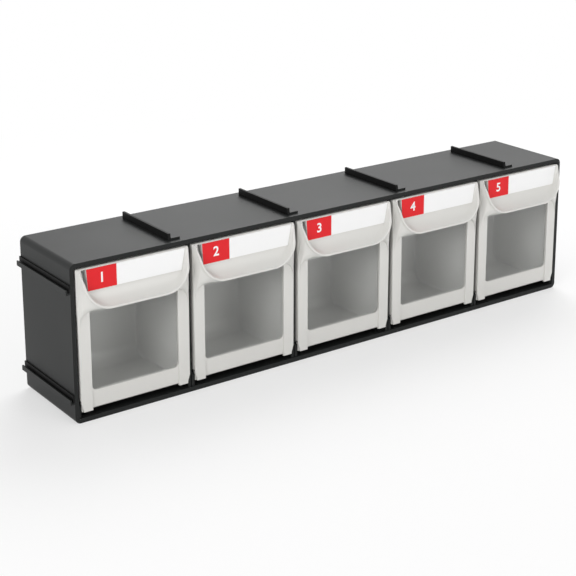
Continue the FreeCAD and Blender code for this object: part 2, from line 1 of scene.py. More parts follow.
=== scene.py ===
import math

import bmesh
import bpy
from mathutils import Matrix, Vector


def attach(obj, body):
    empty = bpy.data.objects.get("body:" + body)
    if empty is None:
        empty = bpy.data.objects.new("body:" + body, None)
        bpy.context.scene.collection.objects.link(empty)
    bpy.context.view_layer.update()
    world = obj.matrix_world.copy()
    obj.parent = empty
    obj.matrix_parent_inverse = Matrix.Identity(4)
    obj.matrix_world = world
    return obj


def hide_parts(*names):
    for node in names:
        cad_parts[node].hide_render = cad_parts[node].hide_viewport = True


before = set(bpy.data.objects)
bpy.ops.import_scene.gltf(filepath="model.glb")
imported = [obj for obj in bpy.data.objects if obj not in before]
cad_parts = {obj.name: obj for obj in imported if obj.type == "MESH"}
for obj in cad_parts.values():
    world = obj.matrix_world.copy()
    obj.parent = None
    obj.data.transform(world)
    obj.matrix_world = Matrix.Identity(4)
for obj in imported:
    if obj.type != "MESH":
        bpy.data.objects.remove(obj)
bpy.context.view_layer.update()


# ---------------------------------------------------------------------------
# The housing: one injection-moulded shell in dark grey plastic with a fine
# spark-eroded grain. Five bays open at the front, low lands on the top and two
# hooks down the left end let it join its neighbours.
# ---------------------------------------------------------------------------
# Lengths are in millimetres, turned into metres by MM. Lights and floor are in metres.
MM = 0.001
HOUSING_GREY = (0.0128, 0.0140, 0.0136, 1)
HOUSING_EDGE = 0.7
HALF_LENGTH = 300.0
HALF_DEPTH = 49.0
HEIGHT = 150.0
FRONT_BAND = 3.0
TOUCH = 0.1
MERGE_REACH = 0.002
EDGE_SEGMENTS = 3
SHARP_TURN = math.radians(35)
FLAT_TURN = math.radians(0.5)
GRAIN_SCALE = 2400.0
FLOW_SCALE = 26.0
GLOSS_SCALE = 9.0
GRAIN_STRENGTH = 0.6
PLAIN_SHEEN = 0.5


def set_sockets(tree, node, **sockets):
    """Link or set a node's inputs, named with a low line for each space."""
    for word, value in sockets.items():
        socket = node.inputs[word.replace("_", " ")]
        if isinstance(value, bpy.types.NodeSocket):
            tree.links.new(value, socket)
        else:
            socket.default_value = value
    return node


def add_node(tree, kind, **sockets):
    """A new node of this kind, with its inputs linked or set by name."""
    return set_sockets(tree, tree.nodes.new(kind), **sockets)


def math_node(tree, operation, first, second):
    """A Math node whose two inputs are sockets or plain numbers."""
    node = tree.nodes.new("ShaderNodeMath")
    node.operation = operation
    for slot, value in enumerate((first, second)):
        if isinstance(value, bpy.types.NodeSocket):
            tree.links.new(value, node.inputs[slot])
        else:
            node.inputs[slot].default_value = value
    return node.outputs[0]


def new_group(name, kind, inputs, outputs):
    """A node group whose sockets are given as (name, type), with its two end nodes."""
    group = bpy.data.node_groups.new(name, kind)
    for in_out, sockets in (("INPUT", inputs), ("OUTPUT", outputs)):
        for word, socket_type in sockets:
            group.interface.new_socket(word, in_out=in_out, socket_type=f"NodeSocket{socket_type}")
    return group, group.nodes.new("NodeGroupInput"), group.nodes.new("NodeGroupOutput")


def new_material(name):
    """A material with its node tree and its Principled shader."""
    material = bpy.data.materials.new(name)
    material.use_nodes = True
    tree = material.node_tree
    return material, tree, tree.nodes["Principled BSDF"]


def make_moulded_grain():
    """Grain of a moulded wall: fine height, broad flow marks and a slow change of gloss."""
    group, given, made = new_group(
        "moulded_grain", "ShaderNodeTree",
        [("Place", "Vector"), ("Grain Scale", "Float"), ("Flow Scale", "Float")],
        [("Height", "Float"), ("Flow", "Float"), ("Gloss", "Float")],
    )
    layers = (
        ("Height", dict(Scale=given.outputs["Grain Scale"], Detail=2.0, Roughness=0.55)),
        ("Flow", dict(Scale=given.outputs["Flow Scale"], Detail=4.0, Roughness=0.6)),
        ("Gloss", dict(Scale=GLOSS_SCALE, Detail=2.0, Roughness=0.5)),
    )
    for word, values in layers:
        noise = add_node(group, "ShaderNodeTexNoise", Vector=given.outputs["Place"], **values)
        group.links.new(noise.outputs["Fac"], made.inputs[word])
    return group


MOULDED_GRAIN = make_moulded_grain()


def moulded_plastic(name, colour, roughness, grain_depth, flow_share, gloss_share,
                    grain_scale=GRAIN_SCALE, sheen=PLAIN_SHEEN):
    """A solid-coloured moulded plastic with grain in its bump and flow marks in its colour."""
    material, tree, shader = new_material(name)
    grain = tree.nodes.new("ShaderNodeGroup")
    grain.node_tree = MOULDED_GRAIN
    place = tree.nodes.new("ShaderNodeTexCoord").outputs["Object"]
    set_sockets(tree, grain, Place=place, Grain_Scale=grain_scale, Flow_Scale=FLOW_SCALE)
    darker, lighter = (
        tuple(min(part * (1 + change), 1) for part in colour[:3]) + (1,)
        for change in (-flow_share, flow_share)
    )
    shade = add_node(
        tree, "ShaderNodeMixRGB", Fac=grain.outputs["Flow"], Color1=darker, Color2=lighter,
    )
    centred = math_node(tree, "SUBTRACT", grain.outputs["Gloss"], 0.5)
    spread = math_node(tree, "MULTIPLY", centred, gloss_share)
    bump = add_node(
        tree, "ShaderNodeBump",
        Distance=grain_depth, Strength=GRAIN_STRENGTH, Height=grain.outputs["Height"],
    )
    set_sockets(
        tree, shader, Base_Color=shade.outputs["Color"], Normal=bump.outputs["Normal"],
        Roughness=math_node(tree, "ADD", spread, roughness), Specular_IOR_Level=sheen,
    )
    return material


def add_object(name, data):
    """A new object in the scene with this data."""
    added = bpy.data.objects.new(name, data)
    bpy.context.scene.collection.objects.link(added)
    return added


def finished_mesh(source):
    """A mesh of the object as it shows, with its modifiers applied."""
    seen = source.evaluated_get(bpy.context.evaluated_depsgraph_get())
    return bpy.data.meshes.new_from_object(seen)


def object_from(bm, name, material):
    """An object at the origin from a bmesh, smooth apart from its sharp edges.

    Its large faces set the shading, so that only the rounded edges shade as curves.
    """
    mesh = bpy.data.meshes.new(name)
    bm.to_mesh(mesh)
    bm.free()
    piece = add_object(name, mesh)
    mesh.materials.append(material)
    mesh.shade_smooth()
    mesh.set_sharp_from_angle(angle=SHARP_TURN)
    weigher = piece.modifiers.new("large_faces", "WEIGHTED_NORMAL")
    weigher.keep_sharp = True
    weighed = finished_mesh(piece)
    piece.modifiers.remove(weigher)
    piece.data = weighed
    weighed.name = name
    return piece


def clean_copy(node):
    """A CAD node's mesh with its doubles merged and its flat faces joined."""
    bm = bmesh.new()
    bm.from_mesh(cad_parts[node].data)
    bmesh.ops.remove_doubles(bm, verts=bm.verts, dist=MERGE_REACH * MM)
    bmesh.ops.dissolve_limit(bm, angle_limit=FLAT_TURN, verts=bm.verts, edges=bm.edges)
    return bm


def round_edges(bm, edges, radius, segments):
    """Round these edges, with the radius in millimetres."""
    bmesh.ops.bevel(
        bm, geom=edges, offset=radius * MM, segments=segments, profile=0.5,
        affect="EDGES", clamp_overlap=True,
    )


def rounded_copy(node, is_rounded, radius):
    """A clean copy of a CAD node's mesh with the chosen sharp edges rounded."""
    bm = clean_copy(node)
    sharp = [
        edge for edge in bm.edges
        if edge.is_manifold and edge.calc_face_angle() > SHARP_TURN and is_rounded(edge)
    ]
    round_edges(bm, sharp, radius, EDGE_SEGMENTS)
    return bm


def is_outside(edge):
    """True for an edge of the housing's rim, dividers, hooks, lands or outer faces."""
    for vertex in edge.verts:
        x, y, z = abs(vertex.co.x) / MM, vertex.co.y / MM, vertex.co.z / MM
        at_front = y < FRONT_BAND - HALF_DEPTH
        at_end_or_back = x > HALF_LENGTH - TOUCH or y > HALF_DEPTH - TOUCH
        at_top_or_foot = z > HEIGHT - TOUCH or z < TOUCH
        if not (at_front or at_end_or_back or at_top_or_foot):
            return False
    return True


housing_plastic = moulded_plastic(
    "housing_plastic", HOUSING_GREY, roughness=0.43, grain_depth=0.05 * MM,
    flow_share=0.10, gloss_share=0.10, grain_scale=1500.0, sheen=0.20,
)
shell = object_from(
    rounded_copy("housing", is_outside, HOUSING_EDGE), "moulded_housing", housing_plastic,
)
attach(shell, "cabinet")
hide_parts("housing")


# ---------------------------------------------------------------------------
# The joining strips: black extruded plastic. Four stand along the top beside
# their lands, two lie in the hooks on the left end, and each slides in from
# the front.
# ---------------------------------------------------------------------------
STRIP_BLACK = (0.006, 0.006, 0.006, 1)
STRIP_SETBACK = 6.0
TOP_STRIPS_AT = (-195.2, -62.3, 72.7, 222.28)
SIDE_STRIPS_AT = (124.3, 21.0)
STRIP_SIZES = ("Thickness", "Height", "Length", "Edge", "Slant")
TOP_STRIP = (2.6, 6.5, 85.0, 0.35, 1.2)
SIDE_STRIP = (1.5, 7.0, 98.0, 0.3, 0.0)
FINE_REACH = 0.001


def make_strip_tree(material):
    """A tree that stands one bar with rounded long edges on each point it is given."""
    tree, given, made = new_group(
        "joining_strips", "GeometryNodeTree",
        [("Places", "Geometry")] + [(word, "Float") for word in STRIP_SIZES],
        [("Strips", "Geometry")],
    )
    thickness, height, length, edge, slant = (given.outputs[word] for word in STRIP_SIZES)
    section = add_node(
        tree, "GeometryNodeCurvePrimitiveQuadrilateral", Width=thickness, Height=height,
    )
    rounded = add_node(tree, "GeometryNodeFilletCurve", Curve=section.outputs["Curve"], Radius=edge)
    rounded.mode = "POLY"
    set_sockets(tree, rounded, Count=EDGE_SEGMENTS)
    far_end = add_node(tree, "ShaderNodeCombineXYZ", Y=length)
    path = add_node(tree, "GeometryNodeCurvePrimitiveLine", End=far_end.outputs["Vector"])
    bar = add_node(
        tree, "GeometryNodeCurveToMesh", Curve=path.outputs["Curve"],
        Profile_Curve=rounded.outputs["Curve"], Fill_Caps=True,
    )
    position = tree.nodes.new("GeometryNodeInputPosition").outputs["Position"]
    parts = add_node(tree, "ShaderNodeSeparateXYZ", Vector=position)
    half = math_node(tree, "MULTIPLY", height, 0.5)
    up = math_node(tree, "ADD", parts.outputs["Z"], half)
    lean = math_node(tree, "MULTIPLY", math_node(tree, "DIVIDE", up, height), slant)
    at_front = math_node(tree, "LESS_THAN", parts.outputs["Y"], TOUCH * MM)
    front_lean = math_node(tree, "MULTIPLY", lean, at_front)
    shift = add_node(tree, "ShaderNodeCombineXYZ", Y=front_lean, Z=half)
    stood = add_node(
        tree, "GeometryNodeSetPosition",
        Geometry=bar.outputs["Mesh"], Offset=shift.outputs["Vector"],
    )
    placed = add_node(
        tree, "GeometryNodeInstanceOnPoints",
        Points=given.outputs["Places"], Instance=stood.outputs["Geometry"],
    )
    real = add_node(tree, "GeometryNodeRealizeInstances", Geometry=placed.outputs["Instances"])
    finish = add_node(
        tree, "GeometryNodeSetMaterial", Geometry=real.outputs["Geometry"], Material=material,
    )
    tree.links.new(finish.outputs["Geometry"], made.inputs["Strips"])
    return tree


def strips_mesh(tree, places, sizes):
    """The mesh that the tree makes on these points, with its sizes in millimetres."""
    points = bpy.data.meshes.new("strip_places")
    points.from_pydata([tuple(value * MM for value in place) for place in places], [], [])
    carrier = add_object("strip_places", points)
    modifier = carrier.modifiers.new("joining_strips", "NODES")
    modifier.node_group = tree
    sockets = tree.interface.items_tree
    names = {item.name: item.identifier for item in sockets if item.in_out == "INPUT"}
    for word, size in zip(STRIP_SIZES, sizes):
        modifier[names[word]] = size * MM
    mesh = finished_mesh(carrier)
    bpy.data.objects.remove(carrier)
    return mesh


strip_plastic = moulded_plastic(
    "strip_plastic", STRIP_BLACK, roughness=0.5, grain_depth=0.03 * MM,
    flow_share=0.05, gloss_share=0.05, sheen=0.12,
)
strip_tree = make_strip_tree(strip_plastic)
top_places = [(x, STRIP_SETBACK - HALF_DEPTH, HEIGHT) for x in TOP_STRIPS_AT]
side_places = [(-HALF_LENGTH - SIDE_STRIP[0] / 2, -HALF_DEPTH, up) for up in SIDE_STRIPS_AT]
strips = bmesh.new()
strips.from_mesh(strips_mesh(strip_tree, top_places, TOP_STRIP))
strips.from_mesh(strips_mesh(strip_tree, side_places, SIDE_STRIP))
bmesh.ops.remove_doubles(strips, verts=strips.verts, dist=FINE_REACH * MM)
bmesh.ops.recalc_face_normals(strips, faces=strips.faces)
black_strips = object_from(strips, "joining_strips", strip_plastic)
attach(black_strips, "cabinet")
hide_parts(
    "top_strip_1", "top_strip_2", "top_strip_3", "top_strip_4",
    "side_strip_upper", "side_strip_lower",
)


# ---------------------------------------------------------------------------
# The tubs: off-white moulded boxes, open at the top and at the window, that
# hold the small stock and turn with their frames. The front foot is chamfered.
# ---------------------------------------------------------------------------
BINS = 5
TUB_WHITE = (0.63, 0.63, 0.605, 1)
TUB_FRONT = -46.3
TUB_FOOT = 8.5
FOOT_CUT_DEPTH = 3.5
FOOT_CUT_HEIGHT = 3.1


def chamfered_tub(node):
    """A tub's mesh with the edge between its front wall and its floor cut away at a slant."""
    bm = clean_copy(node)
    cut = bmesh.ops.bisect_plane(
        bm, geom=bm.verts[:] + bm.edges[:] + bm.faces[:], dist=FINE_REACH * MM,
        plane_co=Vector((0, TUB_FRONT, TUB_FOOT + FOOT_CUT_HEIGHT)) * MM,
        plane_no=Vector((0, -FOOT_CUT_HEIGHT, -FOOT_CUT_DEPTH)).normalized(), clear_outer=True,
    )
    rim = [piece for piece in cut["geom_cut"] if isinstance(piece, bmesh.types.BMEdge)]
    bmesh.ops.edgeloop_fill(bm, edges=rim)
    bmesh.ops.recalc_face_normals(bm, faces=bm.faces)
    return bm


tub_plastic = moulded_plastic(
    "tub_plastic", TUB_WHITE, roughness=0.38, grain_depth=0.02 * MM,
    flow_share=0.02, gloss_share=0.06,
)
for number in range(1, BINS + 1):
    tub = object_from(chamfered_tub(f"bin_tub_{number}"), f"moulded_tub_{number}", tub_plastic)
    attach(tub, f"bin_{number}")
    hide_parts(f"bin_tub_{number}")


# ---------------------------------------------------------------------------
# The panes: flat clear sheets held between each frame and its tub, so that the
# stock shows. They let most light through to the tub.
# ---------------------------------------------------------------------------
PANE_SHADOW = 0.10


def use_material(node, material):
    """Give a CAD node that is shown as it is a finish of its own."""
    node.data.materials.clear()
    node.data.materials.append(material)


window_clear, pane_tree, pane_shader = new_material("window_clear")
pane_rays = pane_tree.nodes.new("ShaderNodeLightPath").outputs
unseen = math_node(pane_tree, "MAXIMUM", pane_rays["Is Shadow Ray"], pane_rays["Is Diffuse Ray"])
let_through = math_node(pane_tree, "MULTIPLY", unseen, 1.0 - PANE_SHADOW)
set_sockets(
    pane_tree, pane_shader, Base_Color=(0.97, 0.98, 0.98, 1), Transmission_Weight=1.0,
    Roughness=0.02, IOR=1.49, Alpha=math_node(pane_tree, "SUBTRACT", 1.0, let_through),
)
for number in range(1, BINS + 1):
    use_material(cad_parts[f"window_pane_{number}"], window_clear)


# ---------------------------------------------------------------------------
# The frames: off-white moulded fronts. The hood is a pull handle whose rounded
# lip runs round a scoop with the label's ground in it. Two stiles, a bottom
# rail set back a little, a skirt, two ears and two pegs make up the rest.
# ---------------------------------------------------------------------------
# The front plate, from the bay's middle outwards and from the foot up.
FRAME_WHITE = (0.705, 0.697, 0.668, 1)
PITCH = 118.8
FACE = 50.3
PLATE = 2.5
PLATE_BACK = PLATE - FACE
HALF = 57.2
FOOT_HALF = 56.5
TOE_HALF = 54.4
FRAME_TOP = 144.3
FRAME_FOOT = 9.9
CHAMFER_TOP = 18.6
STILE_TOP = 112.0
WINDOW_HALF = 45.0
SLAB_SEGMENTS = 2
OVERLAP = 0.2

# The frame's outer edge, which is cut back behind its front, and the hood's foot.
EDGE_ROUND = 0.45
EDGE_THICK = 1.3
EDGE_INSET = 1.0
BACK_ROUND = 0.1
JOIN_INSET = 0.1
HOOD_LOW = 105.6
HOOD_DROP = 16.8
HOOD_TURN = 10.6
HOOD_CORNER = 1.2
HOOD_TAPER = 2.4
FLAT_STEPS, ARC_STEPS, SIDE_STEPS, CORNER_STEPS = 14, 16, 16, 4

# The handle's lip, how far it reaches, and the flanks between it and the plate.
LIP_HEIGHT = 106.5
LIP_REACH = 12.2
LIP_TOP_REACH = 1.8
LIP_RADIUS = 1.35
LEDGE_RADIUS = 0.3
LEDGE_GAP = 0.7
LEDGE_FADE = 12.0
BEAD_TURNS = (-25, 5, 35, 65, 95, 125, 155, 180)
FLANK_SHARES = (0.12, 0.3, 0.5, 0.7, 0.88)
FLANK_HOLLOW = 0.7
FLANK_BREADTH = 16.0
CREST = dict(
    top=FRAME_TOP, top_half=55.9, shoulder=127.0, shoulder_half=53.5,
    low=LIP_HEIGHT, flat_half=27.5, corner=HOOD_CORNER,
)

# The label's ground, the scoop that leads to it, and the slot for pushing out the card.
LABEL_TOP = 143.7
LABEL_REACH = 1.0
SCOOP_REACH = 4.5
SCOOP_RATIO = 0.45
SCOOP_SHARES = (0.1, 0.22, 0.36, 0.5, 0.64, 0.78, 0.9)
SCOOP_MIDDLE = dict(
    top=LABEL_TOP, top_half=53.9, shoulder=124.8, shoulder_half=50.5,
    low=114.0, flat_half=33.5, corner=0.5,
)
LABEL_GROUND = dict(
    top=LABEL_TOP, top_half=52.7, shoulder=123.5, shoulder_half=48.9,
    low=122.5, flat_half=47.9, corner=0.4,
)
CARD_SLOT = ((-52.6, 143.6), (-48.8, 123.5), (-46.7, 123.5), (-47.8, 143.6))

# The bottom rail, which leans back towards its foot, and the window's lower corners.
RAIL_FOOT = 12.0
RAIL_INTO = 1.2
RAIL_ROUND = 0.15
SILL_TOP = 28.5
SILL_STEP = 0.8
SILL_LEAN = 0.7
SILL_ROUND = 5.0
TURN_STEPS = 6

# What stands behind the plate: the skirt, the ears and the pegs on the hinge line.
SKIRT_HALF = 56.5
SKIRT_LOW, SKIRT_HIGH = 20.55, 143.9
SKIRT_THICK = 1.8
SKIRT_REACH = 8.0
SKIRT_ROUND = 0.3
EAR_FACE = 55.3
EAR_THICK = 2.0
EAR_TOP = 18.5
EAR_REACH = 8.4
EAR_ROUND = 0.25
BACK_OVERLAP = 0.3
HINGE_Y, HINGE_Z = -43, 14
PEG_RADIUS = 2.5
PEG_LENGTH = 3.2
PEG_MIDDLE = EAR_FACE + 1.1


def bay_centre(number):
    """The middle of a bay along the row, in millimetres."""
    return (number - (BINS + 1) / 2) * PITCH


def half_outline(top, top_half, shoulder, shoulder_half, low, flat_half, corner):
    """Right half of a hood outline, from the middle of its foot to the middle of its top."""
    points = [(flat_half * step / FLAT_STEPS, low) for step in range(FLAT_STEPS)]
    run = shoulder_half - flat_half
    rise = shoulder - low
    radius = (run * run + rise * rise) / (2 * rise)
    turn = math.atan2(run, radius - rise)
    for step in range(ARC_STEPS):
        angle = turn * step / ARC_STEPS
        across = flat_half + radius * math.sin(angle)
        points.append((across, low + radius * (1 - math.cos(angle))))
    for step in range(SIDE_STEPS):
        share = step / SIDE_STEPS
        across = shoulder_half + (top_half - shoulder_half) * share
        points.append((across, shoulder + (top - corner - shoulder) * share))
    return points + corner_and_top(top, top_half, corner)


def half_base():
    """Right half of the hood's foot on the frame: flat over the window, rounded at the stile."""
    points = [(WINDOW_HALF * step / FLAT_STEPS, HOOD_LOW) for step in range(FLAT_STEPS)]
    for step in range(ARC_STEPS):
        angle = math.pi / 2 * step / ARC_STEPS
        across = WINDOW_HALF + HOOD_TURN * math.sin(angle)
        points.append((across, HOOD_LOW - HOOD_DROP * (1 - math.cos(angle))))
    low = HOOD_LOW - HOOD_DROP
    strip = HALF - WINDOW_HALF - HOOD_TURN
    for step in range(SIDE_STEPS):
        share = step / SIDE_STEPS
        inset = strip * (1 - min(share * HOOD_TAPER, 1.0)) ** 2
        points.append((HALF - inset, low + (FRAME_TOP - HOOD_CORNER - low) * share))
    return points + corner_and_top(FRAME_TOP, HALF, HOOD_CORNER)


def corner_and_top(top, top_half, corner):
    """The rounded upper corner and half of the straight top."""
    points = []
    for step in range(CORNER_STEPS):
        angle = math.pi / 2 * step / CORNER_STEPS
        across = top_half - corner * (1 - math.cos(angle))
        points.append((across, top - corner * (1 - math.sin(angle))))
    for step in range(FLAT_STEPS + 1):
        points.append(((top_half - corner) * (1 - step / FLAT_STEPS), top))
    return points


def mirrored(points):
    """The points on the other side of the middle, in reverse order."""
    return [(-across, up) for across, up in reversed(points)]


def whole_loop(half):
    """Mirror a right half into a closed loop that runs anticlockwise seen from the front."""
    return list(half) + mirrored(half[1:-1])


def raised(loop, reach):
    """Points (x, z, reach) of a loop at one distance ahead of the frame."""
    return [(x, z, reach) for x, z in loop]


def lip_reach(up):
    """How far the lip stands ahead of the frame at this height, on a bulging side line."""
    drop = (FRAME_TOP - up) / (FRAME_TOP - LIP_HEIGHT)
    bulge = math.sin(math.pi / 2 * min(max(drop, 0.0), 1.0))
    return LIP_TOP_REACH + (LIP_REACH - LIP_TOP_REACH) * bulge


def outward(loop, index):
    """Unit normal of a loop in its plane, away from its inside."""
    before = Vector(loop[index - 1])
    after = Vector(loop[(index + 1) % len(loop)])
    along = (after - before).normalized()
    return Vector((along.y, -along.x))


def lip_beads(crest):
    """Loops round the lip's rounded edge, thin along the ledge over the label."""
    beads = []
    for angle in BEAD_TURNS:
        turn = math.radians(angle)
        bead = []
        for index, (x, z) in enumerate(crest):
            normal = outward(crest, index)
            fullness = min(max((FRAME_TOP - LEDGE_GAP - z) / LEDGE_FADE, 0.0), 1.0)
            radius = LEDGE_RADIUS + (LIP_RADIUS - LEDGE_RADIUS) * fullness
            side = radius * (math.cos(turn) - 1)
            reach = lip_reach(z) - radius + radius * math.sin(turn)
            bead.append((x + normal.x * side, z + normal.y * side, reach))
        beads.append(bead)
    return beads


def flank_loops(edge, bead):
    """Loops between the frame's face and the lip, slightly hollow where the flank is broad."""
    loops = []
    for share in FLANK_SHARES:
        hollow = FLANK_HOLLOW * 4 * share * (1 - share)
        flank = []
        for start, end in zip(edge, bead):
            point = [a + (b - a) * share for a, b in zip(start, end)]
            size = min((end[2] - start[2]) / LIP_REACH, 1.0)
            breadth = (Vector(end[:2]) - Vector(start[:2])).length
            point[2] -= hollow * size * min(breadth / FLANK_BREADTH, 1.0)
            flank.append(tuple(point))
        loops.append(flank)
    return loops


def scoop_loops(bead):
    """Loops from the lip's inner edge down the curved scoop to the label's ground."""
    ground = raised(whole_loop(half_outline(**LABEL_GROUND)), LABEL_REACH)
    middle = [
        (x, z, min(SCOOP_REACH, LABEL_REACH + SCOOP_RATIO * (lip_reach(z) - LABEL_REACH)))
        for x, z in whole_loop(half_outline(**SCOOP_MIDDLE))
    ]
    loops = []
    for share in SCOOP_SHARES:
        first = (1 - share) * (1 - 2 * share)
        second = 4 * share * (1 - share)
        third = share * (2 * share - 1)
        loops.append([
            tuple(a * first + b * second + c * third for a, b, c in zip(start, through, end))
            for start, through, end in zip(bead, middle, ground)
        ])
    return loops + [ground]


def hood_loops():
    """Every loop of the hood's skin, from its back edge over the lip to the label's ground."""
    base = whole_loop(half_base())
    inner, edge = [], []
    for index, (x, z) in enumerate(base):
        normal = outward(base, index)
        behind, ahead = (EDGE_INSET, EDGE_ROUND) if z > STILE_TOP else (0.0, JOIN_INSET)
        inner.append((x - normal.x * behind, z - normal.y * behind))
        edge.append((x - normal.x * ahead, z - normal.y * ahead, 0.0))
    beads = lip_beads(whole_loop(half_outline(**CREST)))
    loops = [raised(inner, -PLATE), raised(inner, -EDGE_THICK)]
    loops += [raised(base, -EDGE_THICK), raised(base, -EDGE_ROUND), edge]
    return loops + flank_loops(edge, beads[0]) + beads + scoop_loops(beads[-1])


def add_ring(bm, ring, centre):
    """Vertices of a loop of (x, z, reach) points, in metres, in the bay at this centre."""
    return [bm.verts.new(((centre + x) * MM, -(FACE + reach) * MM, z * MM)) for x, z, reach in ring]


def bridge(bm, first, second):
    """Faces between two rings with the same number of vertices."""
    for index in range(len(first)):
        following = (index + 1) % len(first)
        bm.faces.new((first[index], first[following], second[following], second[index]))


def ring_edges(bm, ring):
    """The edges round a ring, made where they are missing."""
    found = []
    for index, vertex in enumerate(ring):
        following = ring[(index + 1) % len(ring)]
        edge = bm.edges.get((vertex, following)) or bm.edges.new((vertex, following))
        found.append(edge)
    return found


def add_hood(bm, centre):
    """The handle's closed shell, with the card's slot through it."""
    rings = [add_ring(bm, ring, centre) for ring in hood_loops()]
    for first, second in zip(rings, rings[1:]):
        bridge(bm, first, second)
    slot_front = add_ring(bm, raised(CARD_SLOT, LABEL_REACH), centre)
    slot_back = add_ring(bm, raised(CARD_SLOT, -PLATE), centre)
    bridge(bm, slot_back, slot_front)
    for outer, hole in ((rings[-1], slot_front), (rings[0], slot_back)):
        edges = ring_edges(bm, outer) + ring_edges(bm, hole)
        bmesh.ops.triangle_fill(bm, use_beauty=True, use_dissolve=False, edges=edges)


def rounded_slab(bm, outline, front, back, radius, centre=0.0):
    """An outline in x and z drawn out along y, with all its edges rounded, added to bm."""
    part = bmesh.new()
    near = [part.verts.new((x * MM, front * MM, z * MM)) for x, z in outline]
    far = [part.verts.new((x * MM, back * MM, z * MM)) for x, z in outline]
    part.faces.new(near)
    part.faces.new(far[::-1])
    bridge(part, far, near)
    bmesh.ops.recalc_face_normals(part, faces=part.faces)
    sharp = [edge for edge in part.edges if edge.calc_face_angle(0) > SHARP_TURN]
    round_edges(part, sharp, radius, SLAB_SEGMENTS)
    append_part(bm, part, centre)


def append_part(bm, part, centre):
    """Copy a part's faces into bm, moved to its bay, and free it."""
    part.verts.index_update()
    copies = [bm.verts.new((v.co.x + centre * MM, v.co.y, v.co.z)) for v in part.verts]
    for face in part.faces:
        bm.faces.new([copies[v.index] for v in face.verts])
    part.free()


def quarter(across, up, radius, start):
    """Points on a quarter circle about a centre, anticlockwise from a start angle in degrees."""
    turns = [math.radians(start + 90 * step / TURN_STEPS) for step in range(TURN_STEPS + 1)]
    return [(across + radius * math.cos(turn), up + radius * math.sin(turn)) for turn in turns]


def add_stile(bm, side, centre):
    """One upright side member, with its foot chamfered over the hinge boss."""
    rise = (STILE_TOP - CHAMFER_TOP) / (FRAME_TOP - CHAMFER_TOP)
    top_half = FOOT_HALF + (HALF - FOOT_HALF) * rise
    outline = [
        (WINDOW_HALF, FRAME_FOOT), (TOE_HALF, FRAME_FOOT), (TOE_HALF, RAIL_FOOT),
        (FOOT_HALF, CHAMFER_TOP), (top_half, STILE_TOP), (WINDOW_HALF, STILE_TOP),
    ]
    behind = [(x - EDGE_INSET if x > WINDOW_HALF else x, z) for x, z in outline]
    if side < 0:
        outline, behind = mirrored(outline), mirrored(behind)
    edge_back = EDGE_THICK - FACE
    rounded_slab(bm, outline, -FACE, edge_back, EDGE_ROUND, centre)
    rounded_slab(bm, behind, edge_back - OVERLAP, PLATE_BACK, BACK_ROUND, centre)


def add_rail(bm, centre):
    """The bottom rail, set back from the stiles, with the window's two rounded corners."""
    end = WINDOW_HALF + RAIL_INTO
    turn_half, turn_up = WINDOW_HALF - SILL_ROUND, SILL_TOP + SILL_ROUND
    turn_left = quarter(-turn_half, turn_up, SILL_ROUND, 180)
    turn_right = quarter(turn_half, turn_up, SILL_ROUND, 270)
    outline = [(-end, RAIL_FOOT), (end, RAIL_FOOT), (end, turn_up)]
    outline += turn_right[::-1] + turn_left[::-1] + [(-end, turn_up)]
    rail_front = SILL_STEP - FACE
    rail = bmesh.new()
    rounded_slab(rail, outline, rail_front, PLATE_BACK, RAIL_ROUND)
    for vertex in rail.verts:
        if vertex.co.y < (rail_front + OVERLAP) * MM:
            share = (turn_up - vertex.co.z / MM) / (SILL_TOP - RAIL_FOOT)
            vertex.co.y += SILL_LEAN * MM * share
    append_part(bm, rail, centre)


def add_back_parts(bm, centre):
    """The skirt behind the edge, the two ears and the pegs that the bin turns on."""
    front = PLATE_BACK - BACK_OVERLAP
    inside, under = SKIRT_HALF - SKIRT_THICK, SKIRT_HIGH - SKIRT_THICK
    skirt = [
        (SKIRT_HALF, SKIRT_LOW), (SKIRT_HALF, SKIRT_HIGH),
        (-SKIRT_HALF, SKIRT_HIGH), (-SKIRT_HALF, SKIRT_LOW),
        (-inside, SKIRT_LOW), (-inside, under), (inside, under), (inside, SKIRT_LOW),
    ]
    rounded_slab(bm, skirt, front, PLATE_BACK + SKIRT_REACH, SKIRT_ROUND, centre)
    ear_inside = EAR_FACE - EAR_THICK
    ear = [
        (ear_inside, FRAME_FOOT), (EAR_FACE, FRAME_FOOT),
        (EAR_FACE, EAR_TOP), (ear_inside, EAR_TOP),
    ]
    for side in (-1, 1):
        shape = ear if side > 0 else mirrored(ear)
        rounded_slab(bm, shape, front, PLATE_BACK + EAR_REACH, EAR_ROUND, centre)
        peg = bmesh.new()
        place = Matrix.Translation((side * PEG_MIDDLE * MM, HINGE_Y * MM, HINGE_Z * MM))
        bmesh.ops.create_cone(
            peg, cap_ends=True, segments=32, radius1=PEG_RADIUS * MM, radius2=PEG_RADIUS * MM,
            depth=PEG_LENGTH * MM, matrix=place @ Matrix.Rotation(math.pi / 2, 4, "Y"),
        )
        append_part(bm, peg, centre)


frame_plastic = moulded_plastic(
    "frame_plastic", FRAME_WHITE, roughness=0.34, grain_depth=0.015 * MM,
    flow_share=0.012, gloss_share=0.06,
)
for number in range(1, BINS + 1):
    centre = bay_centre(number)
    bm = bmesh.new()
    add_hood(bm, centre)
    bmesh.ops.recalc_face_normals(bm, faces=bm.faces)
    add_stile(bm, -1, centre)
    add_stile(bm, 1, centre)
    add_rail(bm, centre)
    add_back_parts(bm, centre)
    front = object_from(bm, f"front_frame_{number}", frame_plastic)
    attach(front, f"bin_{number}")
    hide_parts(f"bin_frame_{number}")


